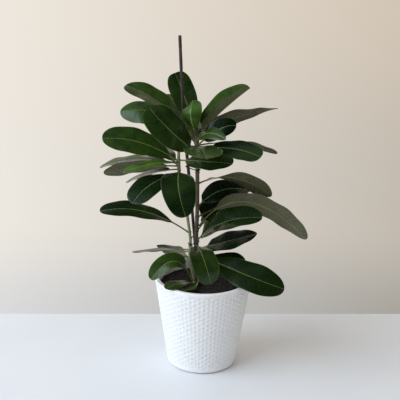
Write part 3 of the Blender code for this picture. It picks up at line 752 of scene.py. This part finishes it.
class FIG_OT_ties(bpy.types.Operator):
    """Make the two cord ties with their knots"""

    bl_idname = "fig.ties"
    bl_label = "Ties"

    def execute(self, context):
        stems = context.scene.fig_stems
        thick = stems.tie_radius
        cord = Paint("black_cord", roughness=0.55)
        grain = cord.cloud(1500, 2)
        tone = cord.mix(cord.fade(grain, 0.35, 0.65), shade(stems.cord, 0.6), shade(stems.cord, 1.5))
        cord.bumps(grain, 0.0002, 0.6)
        cord.finish(tone)
        tall, short = (TALL_ROUTE, stems.tall_radius), (SHORT_ROUTE, stems.short_radius)
        stake = (STAKE_ROUTE, stems.stake_radius)
        for name, height, rods in (
            ("tie_upper", UPPER_TIE_HEIGHT, [tall, stake]),
            ("tie_lower", LOWER_TIE_HEIGHT, [short, tall, stake]),
        ):
            circles = [(on_route(route, height)[:2], radius + TIE_CLEARANCE * MM + thick) for route, radius in rods]
            loop = belt(circles)
            places = np.column_stack([loop, np.full(len(loop), height * MM)])
            front = places[np.argmin(places[:, 1])] - (0, 0.4 * thick, 0)
            verts, faces = gathered([tube(places, np.full(len(places), thick), 12, closed=True), *knot(front, thick)])
            made = new_piece(f"{name}_cord", verts, faces, [cord.material], sharp=70)
            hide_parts(name)
        return {"FINISHED"}


# Leaves

LINE_STEPS = 400
STALK_STATIONS = 9
BLADE_STATIONS = 84
NEAR_RIB = ((0.5, 0.06), (1.0, 0.12), (1.8, 0.22))
BEYOND_RIB = (0.12, 0.26, 0.41, 0.56, 0.71, 0.84, 0.93, 0.98, 1.0)
ROOT_SINK = 1.8
OPENING_SHARE = 0.12
VEIN_LEAN = 0.55
STEMS = {"tall": TALL_ROUTE, "short": SHORT_ROUTE}


def leaf_line(leaf, stems, stalk_radius):
    """The midrib's foot on the stem, bend and tip, in metres."""
    radius = stems.tall_radius if leaf.stem == "tall" else stems.short_radius
    axis = on_route(STEMS[leaf.stem], leaf.height)
    middle, tip = np.array(leaf.middle) * MM, np.array(leaf.tip) * MM
    rise = 2 * middle - 0.5 * (axis + tip) - axis
    out = np.array((rise[0], rise[1], 0)) / math.hypot(rise[0], rise[1])
    slope = abs(rise[2]) / np.linalg.norm(rise)
    foot = axis + out * (radius + 0.5 * MM + stalk_radius * slope)
    return foot, 2 * middle - 0.5 * (foot + tip), tip


def half_width(leaf, along):
    """The blade's half width at this share of its length, nothing at the base and the tip."""
    widest = leaf.full / (leaf.full + leaf.sharp)
    peak = widest**leaf.full * (1 - widest) ** leaf.sharp
    return 0.5 * leaf.width * MM * along**leaf.full * (1 - along) ** leaf.sharp / peak


def columns(half):
    """Distances from the midrib to each column on one side, close together near the midrib and near the edge."""
    near = [min(distance * MM, part * half) for distance, part in NEAR_RIB]
    return np.array(near + [near[-1] + (half - near[-1]) * part for part in BEYOND_RIB])


def stations(leaf, length):
    """(distance from the foot, share of the blade) of each station, from inside the stem to the tip."""
    stalk = leaf.petiole * MM
    rows = [(-ROOT_SINK * MM + (stalk + ROOT_SINK * MM) * i / STALK_STATIONS, 0.0) for i in range(STALK_STATIONS)]
    for i in range(BLADE_STATIONS):
        even = i / (BLADE_STATIONS - 1)
        along = 0.8 * math.sin(0.5 * math.pi * even) + 0.2 * even
        rows.append((stalk + along * (length - stalk), min(along, 0.99999)))
    return rows


def leaf_shape(leaf, number, look, stems):
    """Points, faces, the underside's share of the faces, and the numbers that the leaf's paint reads."""
    foot, bend, tip = leaf_line(leaf, stems, look.stalk_radius)
    steps = np.linspace(0, 1, LINE_STEPS + 1)[:, None]
    line = foot * (1 - steps) ** 2 + bend * 2 * steps * (1 - steps) + tip * steps**2
    distances = np.concatenate([[0], np.cumsum(np.linalg.norm(np.diff(line, axis=0), axis=1))])
    run = line[-1] - line[0]
    level = Vector((run[0], run[1], 0)).normalized().cross(Vector((0, 0, 1)))
    start = (line[1] - line[0]) / np.linalg.norm(line[1] - line[0])

    def at(distance):
        if distance < 0:
            return foot + start * distance
        return np.array([np.interp(distance, distances, line[:, k]) for k in range(3)])

    rings, values = [], []
    dice = random.Random(number)
    ripple = [dice.uniform(0, math.tau) for _ in range(4)]
    ripple_length = dice.uniform(38, 56) * MM
    stalk = leaf.petiole * MM
    for distance, along in stations(leaf, distances[-1]):
        place = at(distance)
        forward = Vector(at(distance + MM) - at(distance - MM)).normalized()
        side = (level - forward * level.dot(forward)).normalized()
        up = side.cross(forward)
        roll = math.radians(leaf.roll + leaf.twist * math.sqrt(along))
        side, up = side * math.cos(roll) + up * math.sin(roll), up * math.cos(roll) - side * math.sin(roll)
        side, up = np.array(side), np.array(up)
        opened = float(smooth_step(along, 0, OPENING_SHARE))
        half = max(half_width(leaf, along), look.stalk_radius * (1 - along))
        out = columns(half)
        across = np.concatenate([-out[::-1], [0], out])
        part = np.abs(across) / max(half, 1e-6)
        fold = math.radians(leaf.fold) * min(along / OPENING_SHARE, 1)
        lift = np.abs(across) * math.sin(fold)
        reach = across * math.cos(fold)
        lift -= leaf.curl * MM * opened * part**3 * (half / (0.5 * leaf.width * MM))
        phase = distance / ripple_length * math.tau
        sway = np.where(across < 0, math.sin(phase + ripple[0]), math.sin(phase * 1.13 + ripple[1]))
        lift += leaf.wave * MM * opened * part**2.5 * sway * min(1, 4 * (1 - along))
        lift += 0.5 * leaf.wave * MM * opened * part * math.sin(phase * 0.5 + ripple[2])
        vein = (distance - stalk - VEIN_LEAN * np.abs(across)) / look.vein_spacing + 0.5 * (across < 0)
        from_vein = np.abs(vein - np.round(vein))
        valley = np.exp(-((from_vein / 0.16) ** 2)) * smooth_step(part, 0.05, 0.2) * (1 - smooth_step(part, 0.75, 0.97))
        lift -= look.quilting * opened * valley
        thick = look.thickness * (1 - part**8) * (1 - 0.3 * along)
        rib_width = (1.5 - 1.0 * along) * MM
        rib = np.exp(-((across / rib_width) ** 2))
        top = lift + 0.5 * thick - 0.30 * MM * rib * opened * (1 - 0.5 * along)
        below = lift - 0.5 * thick - (1.0 - 0.75 * along) * MM * rib
        turn = 0.5 * math.pi * np.clip(np.sign(across) * part, -1, 1)
        stalk_reach = look.stalk_radius * np.sin(turn)
        stalk_height = look.stalk_radius * np.cos(turn)
        swell = 1 + 0.25 * math.exp(-max(distance, 0) / (2.5 * MM))
        reach_now = reach * opened + stalk_reach * swell * (1 - opened)
        top = top * opened + stalk_height * swell * (1 - opened)
        below = below * opened - stalk_height * swell * (1 - opened)
        upper = place + np.outer(reach_now, side) + np.outer(top, up)
        lower = place + np.outer(reach_now, side) + np.outer(below, up)
        rings.append(np.vstack([upper, lower[-2:0:-1]]))
        row = np.stack([np.full_like(across, along), np.abs(across) / MM, part, vein, np.full_like(across, 1 - opened)])
        values.append(np.hstack([row, row[:, -2:0:-1]]))
    around = len(rings[0])
    verts = np.vstack([*rings, foot - start * ROOT_SINK * MM, tip])
    faces = ring_faces(len(rings), around) + end_faces(0, around, len(verts) - 2, False)
    faces += end_faces((len(rings) - 1) * around, around, len(verts) - 1, True)
    under = np.arange(len(faces)) % around >= around // 2
    numbers = np.hstack([*values, values[0][:, :1], values[-1][:, :1]])
    named = dict(zip(("along", "rib", "edge", "vein", "stalk"), numbers))
    # The lightness share, part youth and part painted light, goes to every point.
    named["fresh"] = np.full(len(verts), leaf.fresh)
    return verts, faces, under, named


def vein_line(leaf, thin):
    """The thin lines of the side veins, from 0 between them to 1 on them."""
    phase = leaf.maths("FRACT", leaf.number("vein"))
    near = leaf.maths("MULTIPLY", leaf.maths("ABSOLUTE", leaf.maths("SUBTRACT", phase, 0.5)), 2.0)
    line = leaf.fade(near, thin, 1.0)
    line = leaf.maths("MULTIPLY", line, leaf.fade(leaf.number("edge"), 0.6, 0.95, 1.0, 0.0))
    return leaf.maths("MULTIPLY", line, leaf.fade(leaf.number("rib"), 0.2, 1.5))


def rib_line(leaf, wide, narrow):
    """The midrib's band, its half width running from wide at the base to narrow at the tip, in millimetres."""
    width = leaf.fade(leaf.number("along"), 0.0, 1.0, wide, narrow)
    return leaf.fade(leaf.maths("DIVIDE", leaf.number("rib"), width), 0.55, 1.25, 1.0, 0.0)


def upper_paint(look):
    leaf = Paint("leaf_upper_side", IOR=1.36)
    mottle = leaf.cloud(75, 4)
    # Painted light in part: the lightness share blends dark green to light green for youth and for how lit the leaf
    # stands; leaves in shade keep the darkest green.
    green = leaf.mix(leaf.number("fresh"), look.dark, look.light)
    green = leaf.mix(leaf.fade(mottle, 0.38, 0.66, 0, 0.45), green, shade(look.dark, 0.55))
    green = leaf.mix(leaf.fade(leaf.cloud(16, 2), 0.45, 0.7, 0, 0.22), green, shade(look.light, 0.7))
    veins = vein_line(leaf, 0.84)
    green = leaf.mix(leaf.maths("MULTIPLY", veins, 0.035), green, look.rib)
    green = leaf.mix(leaf.fade(leaf.number("edge"), 0.955, 0.995, 0, 0.40), green, look.rib)
    green = leaf.mix(leaf.maths("MULTIPLY", rib_line(leaf, 0.85, 0.25), 0.75), green, look.rib)
    green = leaf.mix(leaf.fade(leaf.number("stalk"), 0.15, 0.9), green, look.stalk)
    fine = leaf.cloud(900, 2)
    leaf.bumps(leaf.maths("ADD", fine, leaf.maths("MULTIPLY", veins, -0.5)), 0.00010, 0.4)
    return leaf.finish(green, leaf.fade(mottle, 0.3, 0.7, 0.20, 0.32))


def under_paint(look):
    leaf = Paint("leaf_lower_side", IOR=1.40)
    mottle = leaf.cloud(60, 4)
    # Painted light in part: the same lightness share lifts the underside toward the light green.
    tone = leaf.mix(leaf.maths("MULTIPLY", leaf.number("fresh"), 0.6), look.underside, look.light)
    tone = leaf.mix(leaf.fade(mottle, 0.36, 0.68, 0, 0.5), tone, shade(look.underside, 0.6))
    veins = vein_line(leaf, 0.80)
    tone = leaf.mix(leaf.maths("MULTIPLY", veins, 0.35), tone, look.rib)
    tone = leaf.mix(leaf.maths("MULTIPLY", rib_line(leaf, 1.6, 0.5), 0.75), tone, look.rib)
    tone = leaf.mix(leaf.fade(leaf.number("stalk"), 0.15, 0.9), tone, look.stalk)
    fine = leaf.cloud(700, 3)
    leaf.bumps(leaf.maths("ADD", fine, leaf.maths("MULTIPLY", veins, 0.8)), 0.00015, 0.6)
    return leaf.finish(tone, leaf.fade(mottle, 0.3, 0.7, 0.42, 0.56))


class FIG_OT_leaves(bpy.types.Operator):
    """Make every leaf with its stalk, midrib, side veins and rippled edge"""

    bl_idname = "fig.leaves"
    bl_label = "Leaves"

    def execute(self, context):
        look, stems = context.scene.fig_leaves, context.scene.fig_stems
        paints = [upper_paint(look), under_paint(look)]
        for number, leaf in enumerate(LEAVES):
            verts, faces, under, values = leaf_shape(leaf, number, look, stems)
            made = new_piece(f"{leaf.name}_blade", verts, faces, paints, under, values, sharp=110)
            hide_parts(leaf.name)
        return {"FINISHED"}


# Stage

TABLE_LEFT_BACK = (-1.8, 0.086)
TABLE_RIGHT_BACK = (1.8, 0.259)
TABLE_FRONT = -2.0
TABLE_THICKNESS = 0.03
WALL_RADIUS = 2.6
WALL_MIDDLE = (0, -0.2)
WALL_TURN = math.radians(100)
WALL_HEIGHTS = (-1.6, 2.4)
WINDOW_PLACE = (-1.90, -0.90, 1.62)
WINDOW_TARGET = (0, 0, 0.2)
WINDOW_SIDE = (-0.75, -0.15, 0.64)
ROOM_FILL = (0.22, 0.74)
ROOM_SHEEN = (0.0, 0.6)
CAMERA_PLACE = (-0.008, -1.370, 0.7336)
CAMERA_PITCH = math.radians(18.23)
CAMERA_ROLL = math.radians(1.20)
CAMERA_LENS = 81


def stage_piece(name, verts, faces, material):
    mesh = bpy.data.meshes.new(name)
    mesh.from_pydata(verts, [], faces)
    mesh.materials.append(material)
    mesh.shade_smooth()
    mesh.set_sharp_from_angle(angle=math.radians(30))
    obj = bpy.data.objects.new(name, mesh)
    bpy.context.scene.collection.objects.link(obj)
    return obj


def table(stage):
    outline = [
        TABLE_LEFT_BACK,
        (TABLE_LEFT_BACK[0], TABLE_FRONT),
        (TABLE_RIGHT_BACK[0], TABLE_FRONT),
        TABLE_RIGHT_BACK,
    ]
    verts = [(x, y, z) for z in (0, -TABLE_THICKNESS) for x, y in outline]
    faces = [(0, 1, 2, 3), (7, 6, 5, 4)] + [(i, i + 4, (i + 1) % 4 + 4, (i + 1) % 4) for i in range(4)]
    top = Paint("pale_table", IOR=1.4)
    cloud = top.cloud(6, 4)
    tone = top.mix(top.fade(cloud, 0.35, 0.7), stage.table, shade(stage.table, 0.97))
    stage_piece("table", verts, faces, top.finish(tone, top.fade(cloud, 0.3, 0.7, 0.42, 0.5)))


def wall(stage):
    """A far wall, bent round behind the plant, that glows softly with painted light: lighter on its left, on the
    window's side, and darker to its right and toward the table.
    """
    turns = [WALL_TURN * (i / 48 - 1) for i in range(97)]
    ring = [(WALL_MIDDLE[0] + WALL_RADIUS * math.sin(t), WALL_MIDDLE[1] + WALL_RADIUS * math.cos(t)) for t in turns]
    verts = [(x, y, z) for z in WALL_HEIGHTS for x, y in ring]
    faces = [(i, i + 1, i + 98, i + 97) for i in range(96)]
    wall_glow = Paint("soft_wall")
    split = wall_glow.node("ShaderNodeSeparateXYZ", {0: wall_glow.place()}).outputs
    across = wall_glow.node(
        "ShaderNodeMapRange", {"Value": split["X"], "From Min": -0.9, "From Max": 0.9}
    ).outputs["Result"]
    # Painted light: the glow runs from lighter at the left, by the window, to darker at the right, and darker toward
    # the table.
    upper = wall_glow.mix(across, paint(240, 233, 223), paint(207, 194, 177))
    middle = wall_glow.mix(across, stage.lit_wall, paint(193, 185, 174))
    lower = wall_glow.mix(across, paint(217, 218, 220), paint(163, 160, 153))
    tone = wall_glow.mix(wall_glow.fade(split["Z"], -1.08, -0.55), lower, middle)
    tone = wall_glow.mix(wall_glow.fade(split["Z"], -0.4, 0.4), tone, upper)
    glow = wall_glow.node("ShaderNodeEmission", {"Color": tone, "Strength": 1.0})
    wall_glow.tree.links.new(glow.outputs["Emission"], wall_glow.tree.nodes["Material Output"].inputs["Surface"])
    stage_piece("wall", verts, faces, wall_glow.material)


def surroundings():
    """A plain room: dim in front and to the right, bright on the window's side, with an even backdrop beyond."""
    world = bpy.data.worlds.new("room")
    world.use_nodes = True
    tree = world.node_tree
    tree.nodes.clear()
    links = tree.links

    def add(kind, **inputs):
        node = tree.nodes.new(kind)
        for key, value in inputs.items():
            node.inputs[key.replace("_", " ")].default_value = value
        return node

    where = add("ShaderNodeTexCoord")
    rays = add("ShaderNodeLightPath")
    slope = add("ShaderNodeVectorMath")
    slope.operation = "DOT_PRODUCT"
    slope.inputs[1].default_value = WINDOW_SIDE
    links.new(where.outputs["Generated"], slope.inputs[0])
    soft = add("ShaderNodeMapRange", From_Min=-1, To_Min=ROOM_FILL[0], To_Max=ROOM_FILL[1])
    sheen = add("ShaderNodeMapRange", From_Min=0.35, From_Max=1.0, To_Min=ROOM_SHEEN[0], To_Max=ROOM_SHEEN[1])
    fill = add("ShaderNodeBackground", Color=(1.0, 0.94, 0.86, 1))
    gloss = add("ShaderNodeBackground", Color=(0.86, 0.93, 1.0, 1))
    seen = add("ShaderNodeBackground", Color=(*paint(218, 211, 201), 1))
    first, last = add("ShaderNodeMixShader"), add("ShaderNodeMixShader")
    out = add("ShaderNodeOutputWorld")
    for source, target in ((soft, fill), (sheen, gloss)):
        links.new(slope.outputs["Value"], source.inputs["Value"])
        links.new(source.outputs["Result"], target.inputs["Strength"])
    for choose, ray, otherwise, chosen in (
        (first, "Is Glossy Ray", fill.outputs["Background"], gloss.outputs["Background"]),
        (last, "Is Camera Ray", first.outputs["Shader"], seen.outputs["Background"]),
    ):
        links.new(rays.outputs[ray], choose.inputs[0])
        links.new(otherwise, choose.inputs[1])
        links.new(chosen, choose.inputs[2])
    links.new(last.outputs["Shader"], out.inputs["Surface"])
    bpy.context.scene.world = world


def window(stage):
    light = bpy.data.lights.new("window", "AREA")
    light.shape = "SQUARE"
    light.size = stage.window_size
    light.energy = stage.window_power
    light.color = stage.window
    obj = bpy.data.objects.new("window", light)
    obj.location = WINDOW_PLACE
    obj.rotation_euler = (Vector(WINDOW_TARGET) - obj.location).to_track_quat("-Z", "Y").to_euler()
    bpy.context.scene.collection.objects.link(obj)


def camera():
    lens = bpy.data.cameras.new("camera")
    lens.lens = CAMERA_LENS
    lens.sensor_width = 36
    lens.clip_start, lens.clip_end = 0.05, 20
    obj = bpy.data.objects.new("camera", lens)
    forward = Vector((0, math.cos(CAMERA_PITCH), -math.sin(CAMERA_PITCH)))
    level_up = Vector((0, math.sin(CAMERA_PITCH), math.cos(CAMERA_PITCH)))
    right = Vector((math.cos(CAMERA_ROLL), 0, 0)) + level_up * math.sin(CAMERA_ROLL)
    up = level_up * math.cos(CAMERA_ROLL) - Vector((math.sin(CAMERA_ROLL), 0, 0))
    obj.matrix_world = Matrix.Translation(CAMERA_PLACE) @ Matrix((right, up, -forward)).transposed().to_4x4()
    bpy.context.scene.collection.objects.link(obj)
    bpy.context.scene.camera = obj


class FIG_OT_stage(bpy.types.Operator):
    """Set the pale table, the soft wall, the window light and the camera"""

    bl_idname = "fig.stage"
    bl_label = "Stage"

    def execute(self, context):
        stage = context.scene.fig_stage
        table(stage)
        wall(stage)
        surroundings()
        window(stage)
        camera()
        context.scene.view_settings.view_transform = "Standard"
        return {"FINISHED"}


# Add-on

SETTINGS = {
    "fig_pot": PotSettings,
    "fig_soil": SoilSettings,
    "fig_stems": StemSettings,
    "fig_leaves": LeafSettings,
    "fig_stage": StageSettings,
}
STEPS = (
    (FIG_OT_stage, "fig_stage"),
    (FIG_OT_pot, "fig_pot"),
    (FIG_OT_soil, "fig_soil"),
    (FIG_OT_stems, "fig_stems"),
    (FIG_OT_stake, None),
    (FIG_OT_ties, None),
    (FIG_OT_leaves, "fig_leaves"),
)


class FIG_PT_panel(bpy.types.Panel):
    """The plant's pieces with their sizes and colours"""

    bl_idname = "FIG_PT_panel"
    bl_label = "Potted Fig"
    bl_space_type = "VIEW_3D"
    bl_region_type = "UI"
    bl_category = "Potted Fig"

    def draw(self, context):
        for step, group in STEPS:
            box = self.layout.box()
            box.operator(step.bl_idname)
            if group:
                for key in SETTINGS[group].__annotations__:
                    box.prop(getattr(context.scene, group), key)


CLASSES = (*SETTINGS.values(), *(step for step, _ in STEPS), FIG_PT_panel)


def register():
    for each in CLASSES:
        bpy.utils.register_class(each)
    for key, group in SETTINGS.items():
        setattr(bpy.types.Scene, key, PointerProperty(type=group))


def unregister():
    for key in SETTINGS:
        delattr(bpy.types.Scene, key)
    for each in reversed(CLASSES):
        bpy.utils.unregister_class(each)


def main():
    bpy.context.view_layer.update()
    register()
    bpy.ops.fig.stage()
    bpy.ops.fig.pot()
    bpy.ops.fig.soil()
    bpy.ops.fig.stems()
    bpy.ops.fig.stake()
    bpy.ops.fig.ties()
    bpy.ops.fig.leaves()
    bpy.context.view_layer.update()


if __name__ == "__main__":
    main()
